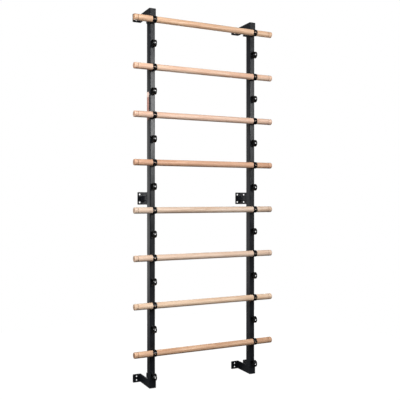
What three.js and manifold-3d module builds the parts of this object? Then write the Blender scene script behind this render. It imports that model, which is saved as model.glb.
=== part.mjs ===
// Swedish wall bars. Two steel posts stand clear of a wall on bent brackets, and each carries a column of
// welded collars. Round wooden rungs pass through facing pairs of collars, every second pair being left free,
// so that a rung can be drawn out sideways and put back at another height.
// Millimetres, +Z up: x = 0 midway between the posts, y = 0 on the wall with the front facing -Y, and z = 0
// at the foot.
import * as THREE from "three";
import { mergeVertices } from "three/addons/utils/BufferGeometryUtils.js";
import Module from "manifold-3d";

// Layout
const COLLAR_PITCH = 150;
const COLLARS_PER_POST = 16;
const COLLARS_PER_RUNG = 2;
const POST_SPACING = 732;
const WALL_CLEARANCE = 109;

// Posts: rectangular tube in two lengths that meet at half height on an inner sleeve
const POST_WIDTH = 36;
const POST_DEPTH = 56;
const POST_CORNER = 6;
const TUBE_WALL = 2;
const SLEEVE_LENGTH = 240;
const SLEEVE_CORNER = 4;
const SLIP_GAP = 0.3;
const PLUG_HEAD = 3;
const PLUG_SHANK = 20;

// Rungs: turned wood with soft ends and a shallow groove near each end
const RUNG_LENGTH = 1000;
const RUNG_DIAMETER = 40;
const RUNG_END_ROUND = 4;
const GROOVE_FROM_END = 25;
const GROOVE_WIDTH = 4;
const GROOVE_DEPTH = 1;

// Collars: short tube lengths across the post's front face, each on a filled weld, with a screw hole in front
const COLLAR_OUTER = 45;
const COLLAR_BORE = 41;
const COLLAR_WIDTH = 25;
const COLLAR_HOLE = 8;
const WELD_HEIGHT = 26;
const WELD_ANGLE = THREE.MathUtils.degToRad(50);

// End brackets: flat strip bent round the post's front and back to the wall, with two drilled flanges
const STRIP_HEIGHT = 54;
const SHEET = 5;
const BRACKET_SPAN = 148;
const BEND_RADIUS = 2;
const PLATE_CORNER = 5;
const STRIP_HOLE = 9;
const STRIP_HOLE_SPACING = 24;

// Middle brackets: a square wall plate, a tube arm and a plate that bridges the joint in the post
const WALL_PLATE = 82;
const WALL_PLATE_HOLE = 12;
const WALL_PLATE_HOLE_SPACING = 52;
const ARM_SIDE = 30;
const ARM_CORNER = 3;
const POST_PLATE_WIDTH = 38;
const JOINT_SCREW_HOLE = 8;
const JOINT_SCREW_SPACING = 58;

// Facets: sides of a rung and of a drilled hole, then half the steps in a collar's arcs and in other arcs
const RUNG_FACETS = 20;
const DRILL_FACETS = 8;
const COLLAR_FACETS = 8;
const BEND_FACETS = 2;

// How far a cutting tool or a joined piece reaches past the face that it meets
const OVERCUT = 1;

// Worked out from the above
const HEIGHT = COLLAR_PITCH * COLLARS_PER_POST;
const POST_BACK = -WALL_CLEARANCE;
const POST_FRONT = POST_BACK - POST_DEPTH;
const POST_MIDDLE = (POST_BACK + POST_FRONT) / 2;
const RUNG_AXIS = POST_FRONT - COLLAR_OUTER / 2;
const JOINT_HEIGHT = HEIGHT / 2;
const SLEEVE_WIDTH = POST_WIDTH - 2 * (TUBE_WALL + SLIP_GAP);
const SLEEVE_DEPTH = POST_DEPTH - 2 * (TUBE_WALL + SLIP_GAP);
const collarHeight = (index) => COLLAR_PITCH * (index + 0.5);

const wasm = await Module();
wasm.setup();

const blackSteel = new THREE.MeshStandardMaterial({ color: 0x2b2c2f, roughness: 0.5, metalness: 0.3 });
const glossSteel = new THREE.MeshStandardMaterial({ color: 0x17181a, roughness: 0.25, metalness: 0.3 });
const blackPlastic = new THREE.MeshStandardMaterial({ color: 0x1d1d1f, roughness: 0.6, metalness: 0 });
const paleWood = new THREE.MeshStandardMaterial({ color: 0xe8c5a4, roughness: 0.6, metalness: 0 });

function solid(geometry) {
  const bare = geometry.clone();
  bare.deleteAttribute("normal");
  bare.deleteAttribute("uv");
  const merged = mergeVertices(bare);
  return new wasm.Manifold(new wasm.Mesh({
    numProp: 3,
    vertProperties: new Float32Array(merged.attributes.position.array),
    triVerts: new Uint32Array(merged.index.array),
  }));
}

function geometryOf(body) {
  const mesh = body.getMesh();
  const geometry = new THREE.BufferGeometry();
  geometry.setAttribute("position", new THREE.BufferAttribute(mesh.vertProperties, mesh.numProp));
  geometry.setIndex(new THREE.BufferAttribute(mesh.triVerts, 1));
  geometry.computeVertexNormals();
  return geometry;
}

// A plan shape (x, y) raised along +Z
function raised(shape, height, facets = BEND_FACETS) {
  return new THREE.ExtrudeGeometry(shape, { depth: height, bevelEnabled: false, curveSegments: facets });
}

// A front shape (x, z) with its back at y = 0, thickened towards the front, along -Y
function thickened(shape, thickness) {
  return raised(shape, thickness).rotateX(Math.PI / 2);
}

// A side shape (y, z) drawn out along X, half to each side
function drawnAcross(shape, width, facets) {
  const geometry = raised(shape, width, facets).translate(0, 0, -width / 2);
  return geometry.rotateX(Math.PI / 2).rotateZ(Math.PI / 2);
}

function roundedRectangle(width, height, radius) {
  const x = width / 2 - radius;
  const y = height / 2 - radius;
  const shape = new THREE.Shape();
  shape.absarc(x, y, radius, 0, Math.PI / 2);
  shape.absarc(-x, y, radius, Math.PI / 2, Math.PI);
  shape.absarc(-x, -y, radius, Math.PI, 1.5 * Math.PI);
  shape.absarc(x, -y, radius, 1.5 * Math.PI, 2 * Math.PI);
  shape.closePath();
  return shape;
}

function tubeSection(width, height, radius) {
  const section = roundedRectangle(width, height, radius);
  section.holes.push(roundedRectangle(width - 2 * TUBE_WALL, height - 2 * TUBE_WALL, radius - TUBE_WALL));
  return section;
}

// A hole is drawn as three arcs, so that it stays round beside bends with few facets
function addHoles(shape, diameter, places) {
  const third = 2 * Math.PI / 3;
  for (const [x, y] of places) {
    const hole = new THREE.Path();
    for (let arc = 0; arc < 3; arc += 1) {
      hole.absarc(x, y, diameter / 2, arc * third, (arc + 1) * third);
    }
    shape.holes.push(hole);
  }
  return shape;
}

// Drills along Y through the one tube wall whose outer face touches the plane y
function drill(geometry, diameter, y, heights) {
  const depth = 4 * TUBE_WALL;
  let body = solid(geometry);
  for (const z of heights) {
    const tool = new THREE.CylinderGeometry(diameter / 2, diameter / 2, depth, DRILL_FACETS);
    body = body.subtract(solid(tool.translate(0, y, z)));
  }
  return geometryOf(body);
}

// One length of post between two heights, drilled through its back wall for the joint's screw
function postLength(low, high, screwHeight) {
  const section = tubeSection(POST_WIDTH, POST_DEPTH, POST_CORNER);
  const tube = raised(section, high - low).translate(0, POST_MIDDLE, low);
  return drill(tube, JOINT_SCREW_HOLE, POST_BACK, [screwHeight]);
}

// The sleeve is drawn back against the posts' rear wall by the two screws
function sleeve(screwHeights) {
  const back = POST_BACK - TUBE_WALL;
  const section = tubeSection(SLEEVE_WIDTH, SLEEVE_DEPTH, SLEEVE_CORNER);
  const tube = raised(section, SLEEVE_LENGTH);
  tube.translate(0, back - SLEEVE_DEPTH / 2, JOINT_HEIGHT - SLEEVE_LENGTH / 2);
  return drill(tube, JOINT_SCREW_HOLE, back, screwHeights);
}

// A plug's head covers the end of the tube, and its hollow shank stands up inside
function endPlug() {
  const head = raised(roundedRectangle(POST_WIDTH, POST_DEPTH, POST_CORNER), PLUG_HEAD);
  const shank = raised(tubeSection(SLEEVE_WIDTH, SLEEVE_DEPTH, SLEEVE_CORNER), PLUG_SHANK + OVERCUT);
  return geometryOf(solid(head).add(solid(shank.translate(0, 0, PLUG_HEAD - OVERCUT))));
}

// A revolved profile, from one end of the rung to the other, turned so that its axis lies along X
function rung() {
  const radius = RUNG_DIAMETER / 2;
  const end = RUNG_LENGTH / 2;
  const shoulder = end - RUNG_END_ROUND;
  const groove = end - GROOVE_FROM_END;
  const halfGroove = GROOVE_WIDTH / 2;
  const softEnd = RUNG_END_ROUND * (1 - Math.SQRT1_2);
  const half = [
    [0, end],
    [radius - RUNG_END_ROUND, end],
    [radius - softEnd, end - softEnd],
    [radius, shoulder],
    [radius, groove + halfGroove],
    [radius - GROOVE_DEPTH, groove],
    [radius, groove - halfGroove],
  ];
  const mirrored = half.map(([r, x]) => [r, -x]);
  const profile = [...mirrored, ...half.reverse()].map(([r, x]) => new THREE.Vector2(r, x));
  return new THREE.LatheGeometry(profile, RUNG_FACETS).rotateZ(-Math.PI / 2);
}

// A ring, drilled in front, whose back is filled by a weld down to the post's face behind it
function collar() {
  const radius = COLLAR_OUTER / 2;
  const outline = new THREE.Shape();
  outline.moveTo(radius, -WELD_HEIGHT / 2);
  outline.lineTo(radius, WELD_HEIGHT / 2);
  outline.absarc(0, 0, radius, WELD_ANGLE, 2 * Math.PI - WELD_ANGLE);
  outline.closePath();
  outline.holes.push(new THREE.Path().absarc(0, 0, COLLAR_BORE / 2, 0, 2 * Math.PI));
  return drill(drawnAcross(outline, COLLAR_WIDTH, COLLAR_FACETS), COLLAR_HOLE, -radius, [0]);
}

// The strip's plan: from the right flange's end, round the inside of the hat, and home along its outside
function bentStripPlan() {
  const inner = POST_WIDTH / 2;
  const outer = inner + SHEET;
  const end = BRACKET_SPAN / 2 + OVERCUT;
  const large = BEND_RADIUS + SHEET;
  const flangeBend = outer + BEND_RADIUS;
  const webBend = inner - BEND_RADIUS;
  const nearWall = -large;
  const nearFront = POST_FRONT + BEND_RADIUS;
  const quarter = Math.PI / 2;
  const plan = new THREE.Shape();
  plan.moveTo(end, -SHEET);
  plan.lineTo(end, 0);
  plan.absarc(flangeBend, nearWall, large, quarter, 2 * quarter);
  plan.absarc(webBend, nearFront, BEND_RADIUS, 0, -quarter, true);
  plan.absarc(-webBend, nearFront, BEND_RADIUS, -quarter, -2 * quarter, true);
  plan.absarc(-flangeBend, nearWall, large, 0, quarter);
  plan.lineTo(-end, 0);
  plan.lineTo(-end, -SHEET);
  plan.absarc(-flangeBend, nearWall, BEND_RADIUS, quarter, 0, true);
  plan.absarc(-webBend, nearFront, large, -2 * quarter, -quarter);
  plan.absarc(webBend, nearFront, large, -quarter, 0);
  plan.absarc(flangeBend, nearWall, BEND_RADIUS, 2 * quarter, quarter, true);
  plan.closePath();
  return plan;
}

// The bent strip, trimmed to its front outline: round corners and two holes in each flange
function endBracket() {
  const flangeMiddle = (BRACKET_SPAN / 2 + POST_WIDTH / 2 + SHEET) / 2;
  const rise = STRIP_HOLE_SPACING / 2;
  const places = [-flangeMiddle, flangeMiddle].flatMap((x) => [[x, -rise], [x, rise]]);
  const outline = addHoles(roundedRectangle(BRACKET_SPAN, STRIP_HEIGHT, PLATE_CORNER), STRIP_HOLE, places);
  const reach = SHEET - POST_FRONT + 2 * OVERCUT;
  const trim = thickened(outline, reach).translate(0, OVERCUT, 0);
  const blankHeight = STRIP_HEIGHT + 2 * OVERCUT;
  const blank = raised(bentStripPlan(), blankHeight).translate(0, 0, -blankHeight / 2);
  return geometryOf(solid(blank).intersect(solid(trim)));
}

function wallPlate() {
  const half = WALL_PLATE_HOLE_SPACING / 2;
  const places = [[-half, -half], [half, -half], [half, half], [-half, half]];
  const outline = addHoles(roundedRectangle(WALL_PLATE, WALL_PLATE, PLATE_CORNER), WALL_PLATE_HOLE, places);
  return thickened(outline, SHEET);
}

function arm() {
  const section = tubeSection(ARM_SIDE, ARM_SIDE, ARM_CORNER);
  return thickened(section, WALL_CLEARANCE - 2 * SHEET).translate(0, -SHEET, 0);
}

function postPlate() {
  const half = JOINT_SCREW_SPACING / 2;
  const outline = roundedRectangle(POST_PLATE_WIDTH, WALL_PLATE, PLATE_CORNER);
  addHoles(outline, JOINT_SCREW_HOLE, [[0, -half], [0, half]]);
  return thickened(outline, SHEET).translate(0, POST_BACK + SHEET, 0);
}

function place(group, name, geometry, material, z = 0) {
  const mesh = new THREE.Mesh(geometry, material);
  mesh.name = name;
  mesh.position.z = z;
  group.add(mesh);
  return mesh;
}

const number = (index) => String(index + 1).padStart(2, "0");

const lowScrew = JOINT_HEIGHT - JOINT_SCREW_SPACING / 2;
const highScrew = JOINT_HEIGHT + JOINT_SCREW_SPACING / 2;
const lowerLength = postLength(PLUG_HEAD, JOINT_HEIGHT, lowScrew);
const upperLength = postLength(JOINT_HEIGHT, HEIGHT - PLUG_HEAD, highScrew);
const innerSleeve = sleeve([lowScrew, highScrew]);
const plug = endPlug();
const ring = collar();
const bracket = endBracket();
const plateOnWall = wallPlate();
const tubeArm = arm();
const plateOnPost = postPlate();

function uprightWithFittings(side) {
  const upright = new THREE.Group();
  place(upright, `${side}_post_lower`, lowerLength, blackSteel);
  place(upright, `${side}_post_upper`, upperLength, blackSteel);
  place(upright, `${side}_post_sleeve`, innerSleeve, blackSteel);
  const bottomPlug = place(upright, `${side}_bottom_plug`, plug, blackPlastic);
  bottomPlug.position.y = POST_MIDDLE;
  const topPlug = place(upright, `${side}_top_plug`, plug, blackPlastic, HEIGHT);
  topPlug.position.y = POST_MIDDLE;
  topPlug.rotation.x = Math.PI;
  place(upright, `${side}_bottom_bracket`, bracket, blackSteel, STRIP_HEIGHT / 2);
  place(upright, `${side}_top_bracket`, bracket, blackSteel, HEIGHT - STRIP_HEIGHT / 2);
  place(upright, `${side}_wall_plate`, plateOnWall, blackSteel, JOINT_HEIGHT);
  place(upright, `${side}_arm`, tubeArm, blackSteel, JOINT_HEIGHT);
  place(upright, `${side}_post_plate`, plateOnPost, blackSteel, JOINT_HEIGHT);
  for (let index = 0; index < COLLARS_PER_POST; index += 1) {
    const mesh = place(upright, `${side}_collar_${number(index)}`, ring, glossSteel, collarHeight(index));
    mesh.position.y = RUNG_AXIS;
  }
  return upright;
}

const wallBars = new THREE.Group();

const left = uprightWithFittings("left");
left.position.x = -POST_SPACING / 2;
const right = uprightWithFittings("right");
right.position.x = POST_SPACING / 2;
wallBars.add(left, right);

// The top pair of collars holds a rung, and so does every second pair below it
const rungs = new THREE.Group();
rungs.position.y = RUNG_AXIS;
const turnedRung = rung();
for (let index = 0; index < COLLARS_PER_POST / COLLARS_PER_RUNG; index += 1) {
  const pair = COLLARS_PER_RUNG * index + COLLARS_PER_RUNG - 1;
  place(rungs, `rung_${number(index)}`, turnedRung, paleWood, collarHeight(pair));
}
wallBars.add(rungs);

export default wallBars;
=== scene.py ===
"""Swedish wall bars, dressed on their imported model.

Metres, +Z up, the front facing -Y and the wall at y = 0. New pieces are surfaces worked out with numpy on
grids, in the model's own frame, so every object sits at the origin. Sheet metal is drawn as one face of the
sheet and gets its thickness and soft edges from modifiers.
"""
import math

import bmesh
import bpy
import numpy as np
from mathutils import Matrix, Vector


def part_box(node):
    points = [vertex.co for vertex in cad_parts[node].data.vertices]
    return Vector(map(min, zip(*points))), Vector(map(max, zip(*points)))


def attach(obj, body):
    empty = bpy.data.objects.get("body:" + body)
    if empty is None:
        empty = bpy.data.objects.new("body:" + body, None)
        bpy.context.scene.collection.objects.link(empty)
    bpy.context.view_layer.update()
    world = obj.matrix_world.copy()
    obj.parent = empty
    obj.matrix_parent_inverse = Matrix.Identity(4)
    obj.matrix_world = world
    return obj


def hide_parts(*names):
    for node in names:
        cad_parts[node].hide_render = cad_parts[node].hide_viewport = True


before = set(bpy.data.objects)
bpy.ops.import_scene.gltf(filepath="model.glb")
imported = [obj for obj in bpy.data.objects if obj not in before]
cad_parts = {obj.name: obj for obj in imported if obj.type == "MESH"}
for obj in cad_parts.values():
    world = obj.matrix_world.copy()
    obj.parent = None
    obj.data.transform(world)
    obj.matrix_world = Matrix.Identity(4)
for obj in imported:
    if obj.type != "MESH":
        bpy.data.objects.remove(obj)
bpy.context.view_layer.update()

# Layout
SIDES = {"left": -0.366, "right": 0.366}
HEIGHT = 2.400
COLLARS_PER_POST = 16
COLLARS_PER_RUNG = 2
COLLAR_HEIGHTS = (np.arange(COLLARS_PER_POST) + 0.5) * HEIGHT / COLLARS_PER_POST
RUNG_AXIS = -0.1875

# Tubes, and the weld beads round the arms
POST_CORNER = 0.006
ARM_CORNER = 0.003
ARM_SIDE = 0.030
TUBE_WALL = 0.002
RIM_ROUND = 0.0007
CORNER_STEPS = 6
SHARPEST_CORNER = 0.0001
BEAD_RADIUS = 0.0022
BEAD_STEPS = 12

# End plugs: insets are counted from the tube's outline, heights from the head's outer face. The crown ends at
# a share of the way out, and the round of the head's edge starts at an angle in radians.
PLUG_HEAD = 0.003
PLUG_LENGTH = 0.023
PLUG_CROWN = 0.0006
PLUG_CROWN_END = 0.92
PLUG_CROWN_STEPS = 6
PLUG_MIDDLE_INSET = 0.0135
PLUG_ROUND = 0.0011
PLUG_ROUND_FROM = 0.1
PLUG_ROUND_STEPS = 6
PLUG_CHAMFER = 0.0003
PLUG_FIT = 0.0023
PLUG_WALL = 0.002
PLUG_TIP = (0.0007, 0.0008)
PLUG_FLOOR = 0.004
PLUG_FLOOR_INSET = 0.0125

# Bent and flat sheet
SHEET = 0.005
STRIP_LEGS = (0.049, 0.156, 0.032, 0.156, 0.049)
FLANGE_BEND = 0.007
WEB_BEND = 0.002
BEND_STEPS = 6
STRIP_HEIGHT = 0.054
STRIP_HOLE = 0.0045
STRIP_HOLE_PLACE = (0.026, 0.012)
PLATE_CORNER = 0.005
PLATE_HOLE = 0.006
PLATE_HOLE_PLACE = 0.026
POST_PLATE_BACK = -0.104
SCREW_HOLE = 0.004
EDGE_SOFTNESS = 0.0006
EDGE_SEGMENTS = 2
EDGE_ANGLE = math.radians(40)
FLAT_FACE_WEIGHT = 100

# Grids: a hole takes the place of a square of cells, whose half width is the reach times the hole's radius
SHEET_REACH = 1.6
COLLAR_REACH = 1.5
HOLE_CELLS = 6
CORNER_CELLS = 5
GRID_DIGITS = 7
MERGE_DISTANCE = 1e-6

# Collars and their welds
COLLAR_RADIUS = 0.0225
COLLAR_WALL = 0.002
COLLAR_WIDTH = 0.025
COLLAR_HOLE = 0.004
COLLAR_SOFTNESS = 0.0005
COLLAR_STEPS = 30
COLLAR_EDGE_LINES = 3
WELD_ANGLE = math.radians(48)
WELD_FOOT = 0.0125
WELD_BULGE = 0.0019
WELD_LENGTH = 0.0235
WELD_RIPPLE = 0.001974
WELD_RIPPLE_DEPTH = 0.14
WELD_STEPS = (41, 14)

# Rungs
RUNG_RADIUS = 0.020
RUNG_HALF = 0.500
END_ROUND = 0.004
GROOVE_AT = 0.475
GROOVE_HALF = 0.002
GROOVE_DEPTH = 0.001
SHAFT_FROM = 0.450
RUNG_STEPS = 72
FACE_STEPS = 4
ROUND_STEPS = 9
GROOVE_STEPS = 13
SHAFT_STEPS = 10

# Joint screws: button heads with a hexagon socket. The profile gives shares of the way in from the rim to
# the socket and heights over the plate, from the shank over the dome to the socket's pointed floor.
SCREW_RISE = 0.029
SCREW_HEAD = 0.0068
SOCKET_HALF = 0.0025
SCREW_PROFILE = ((0.0, -0.004), (0.0, 0.0008), (0.23, 0.0028), (0.607, 0.0038), (1.0, 0.0042),
                 (1.0, 0.0040), (1.0, 0.0016), (1.0, 0.0009))
SCREW_STEPS = 48

# Bare plate on the left post's outer side
BARE_HALF = (0.017, 0.089)
BARE_MIDDLE = (-0.1315, 1.787)
BARE_THICKNESS = 0.0005
BARE_CORNER = 0.002
BARE_SOFTNESS = 0.00015
BARE_TOP_FROM = (1.841, 1.845)

# Finishes, each as its dark and its light tone
BLACK_COAT_TONES = ((0.0065, 0.0072, 0.0095, 1), (0.0115, 0.0128, 0.016, 1))
GLOSS_COAT_TONES = ((0.004, 0.004, 0.0045, 1), (0.008, 0.008, 0.009, 1))
# The collars' insides: the gloss coat darkened, as painted shade inside the rings
BORE_PAINTED_SHADE_TONES = ((0.003, 0.003, 0.0033, 1), (0.006, 0.006, 0.0065, 1))
PLUG_TONES = ((0.008, 0.008, 0.009, 1), (0.018, 0.018, 0.019, 1))
SCREW_TONES = ((0.03, 0.03, 0.032, 1), (0.16, 0.16, 0.165, 1))
BARE_TONES = ((0.34, 0.172, 0.138, 1), (0.40, 0.21, 0.171, 1))
BARE_TOP_TONE = (0.74, 0.55, 0.47, 1)
# The rungs' dark and light wood, from the lowest rung up
RUNG_TONES = (
    ((0.565, 0.3, 0.17, 1), (0.865, 0.575, 0.38, 1)),
    ((0.715, 0.445, 0.275, 1), (0.975, 0.77, 0.58, 1)),
    ((0.69, 0.45, 0.3, 1), (0.975, 0.775, 0.63, 1)),
    ((0.62, 0.415, 0.275, 1), (0.915, 0.735, 0.6, 1)),
    ((0.585, 0.3, 0.175, 1), (0.89, 0.565, 0.385, 1)),
    ((0.75, 0.43, 0.285, 1), (0.99, 0.76, 0.615, 1)),
    ((0.775, 0.42, 0.27, 1), (0.99, 0.745, 0.565, 1)),
    ((0.67, 0.365, 0.205, 1), (0.97, 0.67, 0.455, 1)),
)

# Wood grain: how far a rung's seed moves it lengthways, and its rings' heart line, which runs out of true
GRAIN_SHIFT = 3.1
HEART_DISTANCE = 0.045
HEART_TURN = 2.4
RUN_OUT = (0.016, 0.022)
RUN_OUT_TURN = (1.7, 1.1)
RING_STRETCH = (0.05, 1, 1)
END_GRAIN_DEPTH = (0.0022, 0.0006)

# Camera
CAMERA_AT = (-1.8234, -3.8193, 1.2058)
CAMERA_TURN = (89.77, 0.0, -26.11)
CAMERA_LENS = 55.86
CAMERA_SENSOR = 36.0

# Floor and world. Directions are given by their sines: upward, to the back and to the right.
FLOOR_HEIGHT = -0.06
FLOOR_HALF = 2.2
FLOOR_TONE = (0.07, 0.07, 0.07, 1)
FLOOR_GLOW = 0.965
EVEN_LIGHT = (0.02, 0.10)
EVEN_RISE = (-0.6, 0.6)
BACKDROP_REACH = 0.4
BACKDROP_LEVELS = ((-0.30, 0.0), (-0.25, 0.03), (-0.20, 0.15), (-0.16, 0.5), (-0.12, 1.1), (-0.07, 1.0),
                   (0.0, 0.75), (0.10, 0.7), (0.15, 0.5), (0.18, 0.15), (0.21, 0.03), (0.25, 0.0))
BACKDROP_BEHIND = (-0.1, 0.3)
BACKDROP_LEFT = (-0.6, -0.32)
BACKDROP_LEFT_LEVEL = 0.15
# Lamps: name, place, the point they face, width and height, watts, and whether reflections show them
SOFTBOXES = (
    ("key_softbox", (1.15, -4.15, 2.33), (0.0, -0.15, 1.5), (2.2, 0.85), 75.0, True),
    ("high_left_softbox", (-4.4, -2.6, 3.3), (0.0, -0.15, 1.4), (1.8, 1.8), 366.0, False),
    ("right_softbox", (4.0, 1.2, 1.3), (0.0, -0.15, 1.2), (1.6, 1.8), 80.0, False),
    ("back_softbox", (1.75, 3.7, 1.3), (0.0, 0.0, 1.2), (1.8, 1.8), 160.0, False),
    ("back_glow", (1.2, 3.9, 1.6), (0.0, 0.0, 1.2), (1.6, 1.2), 16.0, True),
)


def corners_of(node):
    """The low and the high corner of a node's box."""
    low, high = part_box(node)
    return np.array(low), np.array(high)


def four_holes(across, up):
    """Middles of four holes, one in each quarter of a sheet."""
    return [(a, u) for a in (-across, across) for u in (-up, up)]


def merged(*groups):
    """The grid lines of all groups in order, each once."""
    return np.unique(np.round(np.concatenate(groups), GRID_DIGITS))


def grid_lines(half, corner, holes, reach):
    """Places of the grid lines across a sheet: close over its rounded corners and over each hole."""
    near_corner = np.linspace(half - corner, half, CORNER_CELLS + 1)
    near_holes = [hole + np.linspace(-reach, reach, HOLE_CELLS + 1) for hole in holes]
    return merged(near_corner, -near_corner, *near_holes)


def grid_faces(rows, columns, wrap_rows=False, wrap_columns=False):
    """Quads of a grid numbered row by row; a wrapped direction joins its last line to its first."""
    row = np.arange(rows if wrap_rows else rows - 1)[:, None]
    column = np.arange(columns if wrap_columns else columns - 1)[None, :]
    below = (row + 1) % rows
    beside = (column + 1) % columns
    corners = np.broadcast_arrays(row * columns + column, below * columns + column,
                                  below * columns + beside, row * columns + beside)
    return np.stack(corners, axis=-1).reshape(-1, 4)


def repeated(faces, count, copies):
    """The faces of like grids of count points each, numbered one after the other."""
    return (faces[None] + count * np.arange(copies)[:, None, None]).reshape(-1, 4)


def ring_stack(width, depth, radius, profile):
    """Rounded rectangles stacked along the third axis, as rows of points.

    Each row of the profile is (inset, height). The inset draws the rectangle's sides in and makes its
    corner radius smaller by as much; a corner is a quarter circle about a centre one radius in from both
    sides.
    """
    inset, height = np.asarray(profile, dtype=float).T[:, :, None]
    quarter = np.repeat(np.arange(4), CORNER_STEPS + 1)
    turn = (quarter + np.tile(np.linspace(0, 1, CORNER_STEPS + 1), 4)) * np.pi / 2
    diagonal = (quarter + 0.5) * np.pi / 2
    bend = np.maximum(radius - inset, SHARPEST_CORNER)
    x = (width / 2 - inset - bend) * np.sign(np.cos(diagonal)) + bend * np.cos(turn)
    y = (depth / 2 - inset - bend) * np.sign(np.sin(diagonal)) + bend * np.sin(turn)
    return np.stack(np.broadcast_arrays(x, y, height), axis=-1)


def revolved(profile, steps):
    """A profile of (place along X, radius) carried round X: radius times cosine and sine of the turn."""
    along, radius = np.asarray(profile, dtype=float).T[:, :, None]
    turn = np.arange(steps) * 2 * np.pi / steps
    return np.stack(np.broadcast_arrays(along, radius * np.cos(turn), radius * np.sin(turn)), axis=-1)


def drilled_sheet(across, up, holes, radius, reach):
    """A flat grid with round holes.

    The cells within reach of a hole's middle give way to a ring of quads between the square that they
    leave and the hole's circle. Each point of the circle is on the line from the middle to a point of the
    square.
    """
    points = np.stack(np.meshgrid(across, up, indexing="ij"), axis=-1).reshape(-1, 2)
    faces = grid_faces(len(across), len(up))
    for hole in np.asarray(holes, dtype=float).reshape(-1, 2):
        away = points - hole
        distance = np.abs(away).max(axis=1)
        kept = np.abs(points[faces].mean(axis=1) - hole).max(axis=1) > reach
        square = np.flatnonzero(np.isclose(distance, reach, atol=10 ** -GRID_DIGITS))
        square = square[np.argsort(np.arctan2(away[square, 1], away[square, 0]))]
        circle = hole + radius * away[square] / np.linalg.norm(away[square], axis=1, keepdims=True)
        here = len(points) + np.arange(len(square))
        ring = np.stack([square, np.roll(square, -1), np.roll(here, -1), here], axis=1)
        points = np.vstack([points, circle])
        faces = np.vstack([faces[kept], ring])
    used, faces = np.unique(faces, return_inverse=True)
    return points[used], faces.reshape(-1, 4)


def round_corners(points, half, radius):
    """Draws each corner square of a sheet onto a quarter disc.

    With a and b running from 0 to 1 across the square, a becomes a times the root of 1 - b squared / 2,
    and b likewise with a.
    """
    half = np.asarray(half)
    square = (np.abs(points) - (half - radius)) / radius
    disc = square * np.sqrt(np.maximum(1 - square[:, ::-1] ** 2 / 2, 0))
    rounded = np.sign(points) * (half - radius + radius * disc)
    return np.where((square > 0).all(axis=1)[:, None], rounded, points)


def bent_path(distance, start, heading, stretches):
    """Points at a distance along a path of stretches, each (length, turn to the left).

    A turn of 0 is straight. Part of a stretch moves the point by its chord, length times sin(a)/a, with a
    half the angle turned so far, in the direction of the heading plus a.
    """
    point = np.tile(np.asarray(start, dtype=float), (len(distance), 1))
    for length, turn in stretches:
        done = np.clip(distance, 0, length)
        half_turn = done / length * turn / 2
        chord = done * np.sinc(half_turn / np.pi)
        direction = heading + half_turn
        point += chord[:, None] * np.stack([np.cos(direction), np.sin(direction)], axis=1)
        heading += turn
        distance = distance - length
    return point


def add_piece(name, points, faces, material, body="frame", node=None, closed=True):
    """A named object of these points and faces that rides on a body and replaces the node, if given."""
    mesh = bpy.data.meshes.new(name)
    mesh.from_pydata(np.asarray(points).reshape(-1, 3).tolist(), [], [list(face) for face in faces])
    work = bmesh.new()
    work.from_mesh(mesh)
    bmesh.ops.remove_doubles(work, verts=work.verts, dist=MERGE_DISTANCE)
    if closed:
        bmesh.ops.recalc_face_normals(work, faces=work.faces)
    work.to_mesh(mesh)
    work.free()
    mesh.shade_smooth()
    mesh.materials.append(material)
    piece = bpy.data.objects.new(name, mesh)
    bpy.context.scene.collection.objects.link(piece)
    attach(piece, body)
    if node:
        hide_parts(node)
    return piece


def flatten_shading(piece):
    """Lets large flat faces keep their own normal beside small rounded ones."""
    weighted = piece.modifiers.new("flat_faces", "WEIGHTED_NORMAL")
    weighted.weight = FLAT_FACE_WEIGHT


def thicken(piece, thickness, softness, inside=None):
    """Gives a drawn face its sheet thickness, on the side away from its normals, and rounds the edges.

    The new side has a material of its own where one is given.
    """
    wall = piece.modifiers.new("sheet", "SOLIDIFY")
    wall.thickness = thickness
    wall.offset = -1
    wall.use_even_offset = True
    if inside:
        piece.data.materials.append(inside)
        wall.material_offset = 1
    edges = piece.modifiers.new("soft_edges", "BEVEL")
    edges.width = softness
    edges.segments = EDGE_SEGMENTS
    edges.limit_method = "ANGLE"
    edges.angle_limit = EDGE_ANGLE
    flatten_shading(piece)


def new_material(name):
    """A node material, its node tree and its principled shader."""
    material = bpy.data.materials.new(name)
    material.use_nodes = True
    return material, material.node_tree, material.node_tree.nodes["Principled BSDF"]


def add_node(tree, kind, inputs=None, **settings):
    """A shader node; an input is either a constant or another node's output."""
    node = tree.nodes.new("ShaderNode" + kind)
    for name, value in settings.items():
        setattr(node, name, value)
    for socket, value in (inputs or {}).items():
        if isinstance(value, bpy.types.NodeSocket):
            tree.links.new(value, node.inputs[socket])
        else:
            node.inputs[socket].default_value = value
    return node


def object_place(tree, shift=(0, 0, 0), scale=(1, 1, 1), turn=(0, 0, 0)):
    """Object coordinates, turned about the origin, moved and then stretched."""
    source = add_node(tree, "TexCoord").outputs["Object"]
    turned = add_node(tree, "Mapping", {"Vector": source, "Rotation": turn}).outputs["Vector"]
    moved = add_node(tree, "VectorMath", {0: turned, 1: shift}, operation="ADD").outputs[0]
    return add_node(tree, "VectorMath", {0: moved, 1: scale}, operation="MULTIPLY").outputs[0]


def noise(tree, place, scale=1.0, detail=2.0, roughness=0.5, distortion=0.0):
    """Noise from about 0.3 to 0.7, with its features one scale-th of a unit wide."""
    inputs = {"Vector": place, "Scale": scale, "Detail": detail, "Roughness": roughness,
              "Distortion": distortion}
    return add_node(tree, "TexNoise", inputs).outputs["Fac"]


def ranged(tree, value, given, wanted=(0.0, 1.0)):
    """Carries a value smoothly from the given range to the wanted one."""
    inputs = {"Value": value, "From Min": given[0], "From Max": given[1],
              "To Min": wanted[0], "To Max": wanted[1]}
    return add_node(tree, "MapRange", inputs, interpolation_type="SMOOTHSTEP").outputs["Result"]


def arithmetic(tree, operation, first, second):
    """One step of arithmetic on two values."""
    return add_node(tree, "Math", {0: first, 1: second}, operation=operation).outputs[0]


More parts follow.
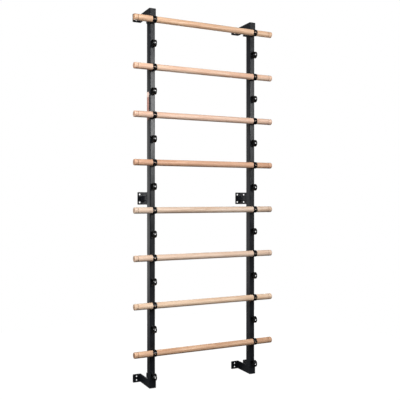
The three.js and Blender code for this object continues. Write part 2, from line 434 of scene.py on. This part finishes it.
def distance_from(tree, value, place):
    """How far a value is from a place, to either side."""
    offset = arithmetic(tree, "SUBTRACT", value, place)
    return add_node(tree, "Math", {0: offset}, operation="ABSOLUTE").outputs[0]


def blended(tree, amount, first, second):
    """The first colour turned towards the second by an amount."""
    return add_node(tree, "MixRGB", {"Fac": amount, "Color1": first, "Color2": second}).outputs["Color"]


def shade_of(colour, share):
    """A colour darkened to a share of itself."""
    return [share * channel for channel in colour[:3]] + [1]


def surface(tree, shader, tone, roughness, height=None, strength=0.0, depth=0.0):
    """Gives a shader its tone, its roughness and, from a height, a bump of this strength and depth."""
    tree.links.new(tone, shader.inputs["Base Color"])
    tree.links.new(roughness, shader.inputs["Roughness"])
    if height is not None:
        bump = add_node(tree, "Bump", {"Height": height, "Strength": strength, "Distance": depth})
        tree.links.new(bump.outputs["Normal"], shader.inputs["Normal"])


def coated_metal(name, tones, roughness, specular, peel):
    """Baked black coating: cloudy tone, the low swells of a sprayed film and a fine surface grain."""
    material, tree, shader = new_material(name)
    place = object_place(tree)
    clouds = noise(tree, place, scale=14.0, detail=4.0, roughness=0.6)
    swells = noise(tree, place, scale=420.0)
    grain = noise(tree, place, scale=2200.0, roughness=0.6)
    tone = blended(tree, ranged(tree, clouds, (0.3, 0.7)), *tones)
    uneven = arithmetic(tree, "ADD", clouds, arithmetic(tree, "MULTIPLY", grain, 0.4))
    height = arithmetic(tree, "ADD", swells, arithmetic(tree, "MULTIPLY", grain, 0.25))
    satin = ranged(tree, uneven, (0.4, 1.0), roughness)
    surface(tree, shader, tone, satin, height, strength=peel, depth=0.00025)
    shader.inputs["Specular IOR Level"].default_value = specular
    return material


def moulded_plastic(name, tones):
    """Plug plastic with the fine spark grain of its mould."""
    material, tree, shader = new_material(name)
    place = object_place(tree)
    grain = noise(tree, place, scale=1500.0, detail=3.0, roughness=0.6)
    clouds = noise(tree, place, scale=40.0, detail=3.0)
    tone = blended(tree, clouds, *tones)
    satin = ranged(tree, grain, (0.3, 0.7), (0.42, 0.6))
    surface(tree, shader, tone, satin, grain, strength=0.35, depth=0.0003)
    return material


def blackened_steel(name, tones):
    """Screw steel with an oxide skin, rubbed brighter in patches."""
    material, tree, shader = new_material(name)
    rubbed = noise(tree, object_place(tree), scale=260.0, detail=4.0, roughness=0.65)
    tone = blended(tree, ranged(tree, rubbed, (0.45, 0.75)), *tones)
    sheen = ranged(tree, rubbed, (0.3, 0.7), (0.42, 0.3))
    surface(tree, shader, tone, sheen)
    shader.inputs["Metallic"].default_value = 0.9
    return material


def plain_film(name, tones, top_tone):
    """The bare plate's satin film with faint mottling, paler along its top end."""
    material, tree, shader = new_material(name)
    place = object_place(tree)
    mottle = noise(tree, place, scale=90.0, detail=4.0, roughness=0.6)
    height = add_node(tree, "SeparateXYZ", {0: place}).outputs["Z"]
    tone = blended(tree, ranged(tree, height, BARE_TOP_FROM), blended(tree, mottle, *tones), top_tone)
    satin = ranged(tree, mottle, (0.3, 0.7), (0.4, 0.52))
    surface(tree, shader, tone, satin)
    return material


def turned_wood(name, centre, tones, seed):
    """Lacquered hardwood of one rung.

    Growth rings stand about a heart line beside the rung and run out of true along it. Long streaks, pale
    patches, fine fibres and short ray flecks follow the grain. The end faces and the grooves are darker,
    from |x| alone.
    """
    material, tree, shader = new_material(name)
    dark, light = tones
    along = GRAIN_SHIFT * seed
    shift = (along, -centre[1], -centre[2])
    heart = (along, HEART_DISTANCE * math.cos(HEART_TURN * seed) - centre[1],
             HEART_DISTANCE * math.sin(HEART_TURN * seed) - centre[2])
    run_out = (0.0, RUN_OUT[0] * math.sin(RUN_OUT_TURN[0] * seed),
               RUN_OUT[1] * math.cos(RUN_OUT_TURN[1] * seed))
    about_heart = object_place(tree, heart, RING_STRETCH, run_out)
    ring_inputs = {"Vector": about_heart, "Scale": 44.0, "Distortion": 4.0, "Detail": 3.0,
                   "Detail Scale": 6.0, "Detail Roughness": 0.55}
    rings = add_node(tree, "TexWave", ring_inputs, wave_type="RINGS", rings_direction="X",
                     wave_profile="SAW").outputs["Fac"]
    along_grain = object_place(tree, shift, (1.6, 34.0, 34.0))
    streaks = noise(tree, along_grain, scale=3.0, detail=5.0, roughness=0.62, distortion=0.4)
    patches = noise(tree, object_place(tree, shift, (2.2, 9.0, 9.0)))
    fibres = noise(tree, object_place(tree, shift, (14.0, 900.0, 900.0)), detail=3.0, roughness=0.6)
    flecks = noise(tree, object_place(tree, shift, (95.0, 620.0, 620.0)))

    tone = blended(tree, ranged(tree, rings, (0.1, 0.95), (0.0, 0.75)), light, dark)
    tone = blended(tree, ranged(tree, streaks, (0.42, 0.62), (0.0, 0.55)), tone, dark)
    tone = blended(tree, ranged(tree, patches, (0.4, 0.7), (0.0, 0.35)), tone, light)
    tone = blended(tree, ranged(tree, fibres, (0.35, 0.7), (0.0, 0.22)), tone, shade_of(dark, 0.55))
    tone = blended(tree, ranged(tree, flecks, (0.62, 0.72), (0.0, 0.4)), tone, shade_of(dark, 0.42))

    x = add_node(tree, "SeparateXYZ", {0: object_place(tree)}).outputs["X"]
    from_middle = distance_from(tree, x, 0.0)
    from_groove = distance_from(tree, from_middle, GROOVE_AT)
    end_from, end_to = (RUNG_HALF - depth for depth in END_GRAIN_DEPTH)
    end_grain = ranged(tree, from_middle, (end_from, end_to), (0.0, 0.85))
    groove = ranged(tree, from_groove, (0.4 * GROOVE_HALF, 1.1 * GROOVE_HALF), (0.75, 0.0))
    tone = blended(tree, end_grain, tone, shade_of(dark, 0.5))
    tone = blended(tree, groove, tone, shade_of(dark, 0.3))

    height = arithmetic(tree, "ADD", fibres, arithmetic(tree, "MULTIPLY", flecks, 0.5))
    satin = ranged(tree, streaks, (0.3, 0.7), (0.4, 0.54))
    surface(tree, shader, tone, satin, height, strength=0.18, depth=0.0002)
    shader.inputs["Coat Weight"].default_value = 0.15
    shader.inputs["Coat Roughness"].default_value = 0.3
    return material


def tube(node, corner, order, material):
    """A rounded rectangular tube that fills a node's box.

    The wall's own section, a rounded rectangle of thickness by length, is carried round the tube's outline.
    The order puts width, depth and length on the frame's axes.
    """
    low, high = corners_of(node)
    width, depth, length = (high - low)[order]
    section = ring_stack(TUBE_WALL, length, RIM_ROUND, [(0, 0)])[0, :, :2] + [TUBE_WALL / 2, 0]
    points = ring_stack(width, depth, corner, section)[..., order] + (low + high) / 2
    faces = grid_faces(*points.shape[:2], wrap_rows=True, wrap_columns=True)
    piece = add_piece(f"{node}_tube", points, faces, material, node=node)
    flatten_shading(piece)


def end_plug(node, sign, material):
    """A plug: a crowned head over the tube's end, and under it a hollow shank inside the tube.

    The crown falls away with the square of the way out from its middle, and a quarter circle ends it. The
    sign is the direction along Z from the head to the shank.
    """
    low, high = corners_of(node)
    crown = [(PLUG_MIDDLE_INSET * (1 - t), PLUG_CROWN * t ** 2)
             for t in np.linspace(0, PLUG_CROWN_END, PLUG_CROWN_STEPS)]
    edge = [(PLUG_ROUND * (1 - math.sin(a)), PLUG_CROWN + PLUG_ROUND * (1 - math.cos(a)))
            for a in np.linspace(PLUG_ROUND_FROM, np.pi / 2, PLUG_ROUND_STEPS)]
    hollow = PLUG_FIT + PLUG_WALL
    under = [(0.0, PLUG_HEAD - PLUG_CHAMFER), (PLUG_CHAMFER, PLUG_HEAD), (PLUG_FIT, PLUG_HEAD),
             (PLUG_FIT, PLUG_LENGTH - PLUG_TIP[1]), (PLUG_FIT + PLUG_TIP[0], PLUG_LENGTH),
             (hollow, PLUG_LENGTH), (hollow, PLUG_FLOOR), (PLUG_FLOOR_INSET, PLUG_FLOOR)]
    points = ring_stack(high[0] - low[0], high[1] - low[1], POST_CORNER, crown + edge + under)
    rows, columns = points.shape[:2]
    faces = grid_faces(rows, columns, wrap_columns=True).tolist()
    faces += [list(range(columns)), list(range((rows - 1) * columns, rows * columns))]
    middle = (low + high) / 2
    outer_face = low[2] if sign > 0 else high[2]
    points = points * [1, 1, sign] + [middle[0], middle[1], outer_face]
    piece = add_piece(f"{node}_moulding", points, faces, material, node=node)
    flatten_shading(piece)


def hat_bracket(node, material):
    """A strip bent into a hat round the post: flange, side, web, side, flange, with two holes a flange."""
    low, high = corners_of(node)
    quarter = math.pi / 2
    bends = ((FLANGE_BEND, quarter), (WEB_BEND, -quarter), (WEB_BEND, -quarter), (FLANGE_BEND, quarter))
    stretches = [(STRIP_LEGS[0], 0.0)]
    for (radius, turn), leg in zip(bends, STRIP_LEGS[1:]):
        stretches += [(radius * quarter, turn), (leg, 0.0)]
    marks = np.cumsum([0.0] + [length for length, _ in stretches])
    half = marks[-1] / 2
    bend_marks = zip(marks[1:-1:2], marks[2:-1:2])
    arcs = [np.linspace(start, end, BEND_STEPS + 1) - half for start, end in bend_marks]
    hole_along = half - STRIP_HOLE_PLACE[0]
    hole_up = STRIP_HOLE_PLACE[1]
    reach = SHEET_REACH * STRIP_HOLE
    along = merged(grid_lines(half, PLATE_CORNER, (-hole_along, hole_along), reach), *arcs)
    up = grid_lines(STRIP_HEIGHT / 2, PLATE_CORNER, (-hole_up, hole_up), reach)
    points, faces = drilled_sheet(along, up, four_holes(hole_along, hole_up), STRIP_HOLE, reach)
    points = round_corners(points, (half, STRIP_HEIGHT / 2), PLATE_CORNER)
    plan = bent_path(points[:, 0] + half, ((high[0] - low[0]) / 2, 0.0), math.pi, stretches)
    middle = (low + high) / 2
    placed = np.column_stack([plan[:, 0] + middle[0], plan[:, 1], points[:, 1] + middle[2]])
    piece = add_piece(f"{node}_strip", placed, faces, material, node=node, closed=False)
    thicken(piece, SHEET, EDGE_SOFTNESS)


def drilled_plate(node, holes, radius, back, material):
    """A flat plate with rounded corners and round holes, drawn on its wall side, which is at y = back."""
    low, high = corners_of(node)
    half = (high - low)[[0, 2]] / 2
    middle = (high + low) / 2
    reach = SHEET_REACH * radius
    across = grid_lines(half[0], PLATE_CORNER, sorted({hole[0] for hole in holes}), reach)
    up = grid_lines(half[1], PLATE_CORNER, sorted({hole[1] for hole in holes}), reach)
    points, faces = drilled_sheet(across, up, holes, radius, reach)
    points = round_corners(points, half, PLATE_CORNER)
    depth = np.full(len(points), back)
    placed = np.column_stack([middle[0] - points[:, 0], depth, middle[2] + points[:, 1]])
    piece = add_piece(f"{node}_sheet", placed, faces, material, node=node, closed=False)
    thicken(piece, SHEET, EDGE_SOFTNESS)


def arm_welds(side, x, material):
    """Beads where the arm meets its two plates: a small circle carried round the arm's outline."""
    turn = np.linspace(0, 2 * np.pi, BEAD_STEPS, endpoint=False)
    circle = BEAD_RADIUS * np.column_stack([-np.cos(turn), np.sin(turn)])
    bead = ring_stack(ARM_SIDE, ARM_SIDE, ARM_CORNER, circle)[..., [0, 2, 1]]
    places = np.array([(x, y, HEIGHT / 2) for y in (-SHEET, POST_PLATE_BACK)])
    points = bead + places[:, None, None]
    faces = grid_faces(*bead.shape[:2], wrap_rows=True, wrap_columns=True)
    faces = repeated(faces, bead[..., 0].size, len(places))
    piece = add_piece(f"{side}_arm_welds", points, faces, material)
    flatten_shading(piece)


def joint_screw(name, x, z, material):
    """A button head on the post plate.

    Its profile goes round with the radius running from the head's to the socket's. The hexagon's radius is
    half its width across flats over the cosine of the angle from the nearest flat's middle.
    """
    turn = np.arange(SCREW_STEPS) * 2 * np.pi / SCREW_STEPS
    hexagon = SOCKET_HALF / np.cos((turn + np.pi / 6) % (np.pi / 3) - np.pi / 6)
    share, height = np.array(SCREW_PROFILE).T[:, :, None]
    radius = SCREW_HEAD + (hexagon - SCREW_HEAD) * share
    radius[-1] = 0.0
    points = np.stack(np.broadcast_arrays(x + radius * np.cos(turn), POST_PLATE_BACK + height,
                                          z + radius * np.sin(turn)), axis=-1)
    rows, columns = points.shape[:2]
    faces = grid_faces(rows, columns, wrap_columns=True).tolist() + [list(range(columns))]
    piece = add_piece(name, points, faces, material)
    flatten_shading(piece)


def collar_ring(node, x, z, material, inside):
    """A short tube across the post: a strip as long as its circumference, drilled midway and rolled up.

    A distance s along the strip is the angle s / radius, counted from the hole in front.
    """
    half = math.pi * COLLAR_RADIUS
    reach = COLLAR_REACH * COLLAR_HOLE
    near = np.linspace(-reach, reach, HOLE_CELLS + 1)
    to_back = np.linspace(-half, -reach, COLLAR_STEPS)
    to_edge = np.linspace(-COLLAR_WIDTH / 2, -reach, COLLAR_EDGE_LINES)
    along = merged(to_back, near, -to_back)
    across = merged(to_edge, near, -to_edge)
    points, faces = drilled_sheet(along, across, [(0, 0)], COLLAR_HOLE, reach)
    angle = points[:, 0] / COLLAR_RADIUS + math.pi
    placed = np.column_stack([x + points[:, 1], RUNG_AXIS + COLLAR_RADIUS * np.cos(angle),
                              z + COLLAR_RADIUS * np.sin(angle)])
    piece = add_piece(f"{node}_ring", placed, faces, material, node=node, closed=False)
    # The inner side takes the darker copy of the coat, painted shade inside the ring
    thicken(piece, COLLAR_WALL, COLLAR_SOFTNESS, inside)


def collar_welds(side, x, material):
    """Rippled beads above and below every collar of a post, in the wedge between ring and post.

    A bead's section is an ellipse whose long axis joins the ring at the weld angle to the weld's foot. Its
    thickness swells with a sine along the bead and closes at both ends as the root of 1 - t to the sixth.
    """
    steps, turns = WELD_STEPS
    t = np.linspace(-1, 1, steps)[:, None]
    turn = np.linspace(0, 2 * np.pi, turns, endpoint=False)
    on_ring = np.array([COLLAR_RADIUS * math.cos(WELD_ANGLE), COLLAR_RADIUS * math.sin(WELD_ANGLE)])
    on_post = np.array([COLLAR_RADIUS, WELD_FOOT])
    middle = (on_ring + on_post) / 2
    axis = (on_post - on_ring) / 2
    normal = np.array([-axis[1], axis[0]]) / np.linalg.norm(axis)
    closing = np.sqrt(np.maximum(1 - t ** 6, 0))
    ripple = 1 + WELD_RIPPLE_DEPTH * np.sin(np.pi * t * WELD_LENGTH / WELD_RIPPLE + np.cos(turn))
    section = middle + closing[..., None] * (np.cos(turn)[:, None] * axis
                                             + (ripple * np.sin(turn))[..., None] * WELD_BULGE * normal)
    beads = 2 * COLLARS_PER_POST
    up = np.tile([-1.0, 1.0], COLLARS_PER_POST)[:, None, None]
    z = np.repeat(COLLAR_HEIGHTS, 2)[:, None, None] + up * section[..., 1]
    points = np.stack(np.broadcast_arrays(x + WELD_LENGTH / 2 * t, RUNG_AXIS + section[..., 0], z), axis=-1)
    faces = repeated(grid_faces(steps, turns, wrap_columns=True), steps * turns, beads)
    add_piece(f"{side}_collar_welds", points, faces, material)


def turned_rung(node, z, material):
    """A rung: a profile with rounded ends and a raised-cosine groove near each, revolved about X."""
    face = [(RUNG_HALF, r) for r in np.linspace(0, RUNG_RADIUS - END_ROUND, FACE_STEPS)]
    arc = [(RUNG_HALF - END_ROUND * (1 - math.cos(a)), RUNG_RADIUS - END_ROUND * (1 - math.sin(a)))
           for a in np.linspace(0, np.pi / 2, ROUND_STEPS)[1:]]
    groove = [(GROOVE_AT - GROOVE_HALF * u, RUNG_RADIUS - GROOVE_DEPTH * (1 + math.cos(math.pi * u)) / 2)
              for u in np.linspace(-1, 1, GROOVE_STEPS)]
    shaft = [(place, RUNG_RADIUS) for place in np.linspace(SHAFT_FROM, 0.0, SHAFT_STEPS)]
    half = np.array(face + arc + groove + shaft)
    profile = np.vstack([half, half[-2::-1] * [-1, 1]])
    points = revolved(profile, RUNG_STEPS) + [0, RUNG_AXIS, z]
    faces = grid_faces(*points.shape[:2], wrap_columns=True)
    add_piece(f"{node}_turning", points, faces, material, body=node, node=node)


def bare_plate(material):
    """A thin sheet with rounded corners on the left post's outer side."""
    across, up = (grid_lines(half, BARE_CORNER, [], 0.0) for half in BARE_HALF)
    points, faces = drilled_sheet(across, up, [], 0.0, 0.0)
    points = round_corners(points, BARE_HALF, BARE_CORNER)
    face_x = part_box("left_post_upper")[0][0] - BARE_THICKNESS
    placed = np.column_stack([np.full(len(points), face_x), BARE_MIDDLE[0] - points[:, 0],
                              BARE_MIDDLE[1] + points[:, 1]])
    piece = add_piece("left_post_bare_plate", placed, faces, material, closed=False)
    thicken(piece, BARE_THICKNESS, BARE_SOFTNESS)


def pale_floor():
    """A square under the bars that the camera sees about as bright as the background."""
    material, tree, shader = new_material("pale_floor")
    shader.inputs["Base Color"].default_value = FLOOR_TONE
    shader.inputs["Roughness"].default_value = 0.9
    shader.inputs["Specular IOR Level"].default_value = 0.0
    shader.inputs["Emission Color"].default_value = (1, 1, 1, 1)
    rays = add_node(tree, "LightPath")
    seen = arithmetic(tree, "MAXIMUM", rays.outputs["Is Camera Ray"], rays.outputs["Is Transmission Ray"])
    tree.links.new(arithmetic(tree, "MULTIPLY", seen, FLOOR_GLOW), shader.inputs["Emission Strength"])
    edge = np.array([-FLOOR_HALF, FLOOR_HALF])
    points = np.stack(np.meshgrid(edge, edge, [FLOOR_HEIGHT], indexing="ij"), axis=-1).reshape(-1, 3)
    mesh = bpy.data.meshes.new("floor")
    mesh.from_pydata(points.tolist(), [], [[0, 2, 3, 1]])
    mesh.materials.append(material)
    floor = bpy.data.objects.new("floor", mesh)
    floor.visible_glossy = False
    bpy.context.scene.collection.objects.link(floor)


def studio_world():
    """White to the camera, with weak even light that comes more from above.

    Reflections also see a bright backdrop behind the bars. Its levels go with the sine of the height angle,
    so that it ends above and below, and it is dimmer on the left.
    """
    world = bpy.data.worlds.new("studio")
    world.use_nodes = True
    tree = world.node_tree
    direction = add_node(tree, "SeparateXYZ", {0: add_node(tree, "TexCoord").outputs["Generated"]})
    right, back, up = direction.outputs
    even = ranged(tree, up, EVEN_RISE, EVEN_LIGHT)
    rise_inputs = {"Value": up, "From Min": -BACKDROP_REACH, "From Max": BACKDROP_REACH}
    rise = add_node(tree, "MapRange", rise_inputs).outputs["Result"]
    levels = add_node(tree, "ValToRGB", {"Fac": rise})
    stops = levels.color_ramp.elements
    for sine, level in BACKDROP_LEVELS:
        stop = stops.new(0.5 + 0.5 * sine / BACKDROP_REACH)
        stop.color = (level, level, level, 1)
    stops.remove(stops[0])
    stops.remove(stops[-1])
    behind = ranged(tree, back, BACKDROP_BEHIND)
    leftward = ranged(tree, right, BACKDROP_LEFT, (BACKDROP_LEFT_LEVEL, 1.0))
    sideways = arithmetic(tree, "MULTIPLY", behind, leftward)
    backdrop = arithmetic(tree, "MULTIPLY", levels.outputs["Color"], sideways)
    rays = add_node(tree, "LightPath")
    mirrored = arithmetic(tree, "MAXIMUM", rays.outputs["Is Glossy Ray"],
                          rays.outputs["Is Transmission Ray"])
    light = arithmetic(tree, "ADD", even, arithmetic(tree, "MULTIPLY", mirrored, backdrop))
    light = arithmetic(tree, "MAXIMUM", light, rays.outputs["Is Camera Ray"])
    tree.links.new(light, tree.nodes["Background"].inputs["Strength"])
    tree.nodes["Background"].inputs["Color"].default_value = (1, 1, 1, 1)
    bpy.context.scene.world = world


def softbox(name, place, target, size, power, mirrored):
    """A rectangular lamp facing a target, unseen by the camera and seen in reflections only if mirrored."""
    lamp = bpy.data.lights.new(name, "AREA")
    lamp.shape = "RECTANGLE"
    lamp.size, lamp.size_y = size
    lamp.energy = power
    holder = bpy.data.objects.new(name, lamp)
    holder.location = place
    holder.rotation_euler = (Vector(target) - Vector(place)).to_track_quat("-Z", "Y").to_euler()
    holder.visible_camera = False
    holder.visible_glossy = mirrored
    bpy.context.scene.collection.objects.link(holder)


def add_camera():
    """The camera at the photo's place."""
    camera = bpy.data.objects.new("camera", bpy.data.cameras.new("camera"))
    camera.data.lens = CAMERA_LENS
    camera.data.sensor_width = CAMERA_SENSOR
    camera.location = CAMERA_AT
    camera.rotation_euler = [math.radians(angle) for angle in CAMERA_TURN]
    bpy.context.scene.collection.objects.link(camera)
    bpy.context.scene.camera = camera


black_coat = coated_metal("black_powder_coat", BLACK_COAT_TONES,
                          roughness=(0.29, 0.36), specular=0.55, peel=0.12)
gloss_coat = coated_metal("black_gloss_coat", GLOSS_COAT_TONES,
                          roughness=(0.18, 0.27), specular=0.45, peel=0.07)
# A darker, duller copy of the collar coat for the rings' insides: painted shade
bore_painted_shade = coated_metal("black_bore_painted_shade", BORE_PAINTED_SHADE_TONES,
                         roughness=(0.5, 0.62), specular=0.12, peel=0.1)
plug_black = moulded_plastic("plug_plastic_black", PLUG_TONES)
screw_black = blackened_steel("screw_black_oxide", SCREW_TONES)
plate_tan = plain_film("bare_plate_tan", BARE_TONES, BARE_TOP_TONE)

for side, post_x in SIDES.items():
    for length in ("lower", "upper"):
        tube(f"{side}_post_{length}", POST_CORNER, [0, 1, 2], black_coat)
    sleeve_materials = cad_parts[f"{side}_post_sleeve"].data.materials
    sleeve_materials.clear()
    sleeve_materials.append(black_coat)
    for end, into_tube in (("bottom", 1), ("top", -1)):
        end_plug(f"{side}_{end}_plug", into_tube, plug_black)
    for end in ("bottom", "top"):
        hat_bracket(f"{side}_{end}_bracket", black_coat)
    wall_holes = four_holes(PLATE_HOLE_PLACE, PLATE_HOLE_PLACE)
    drilled_plate(f"{side}_wall_plate", wall_holes, PLATE_HOLE, 0.0, black_coat)
    screw_holes = [(0.0, -SCREW_RISE), (0.0, SCREW_RISE)]
    drilled_plate(f"{side}_post_plate", screw_holes, SCREW_HOLE, POST_PLATE_BACK, black_coat)
    tube(f"{side}_arm", ARM_CORNER, [0, 2, 1], black_coat)
    arm_welds(side, post_x, black_coat)
    for length, rise in (("lower", -SCREW_RISE), ("upper", SCREW_RISE)):
        joint_screw(f"{side}_joint_screw_{length}", post_x, HEIGHT / 2 + rise, screw_black)
    for number, collar_z in enumerate(COLLAR_HEIGHTS, 1):
        collar_ring(f"{side}_collar_{number:02d}", post_x, collar_z, gloss_coat, bore_painted_shade)
    collar_welds(side, post_x, gloss_coat)

for number, tones in enumerate(RUNG_TONES, 1):
    rung_z = COLLAR_HEIGHTS[COLLARS_PER_RUNG * number - 1]
    wood = turned_wood(f"rung_wood_{number:02d}", (0, RUNG_AXIS, rung_z), tones, number)
    turned_rung(f"rung_{number:02d}", rung_z, wood)

bare_plate(plate_tan)

pale_floor()
studio_world()
for lamp_settings in SOFTBOXES:
    softbox(*lamp_settings)
add_camera()
bpy.context.scene.view_settings.view_transform = "Standard"
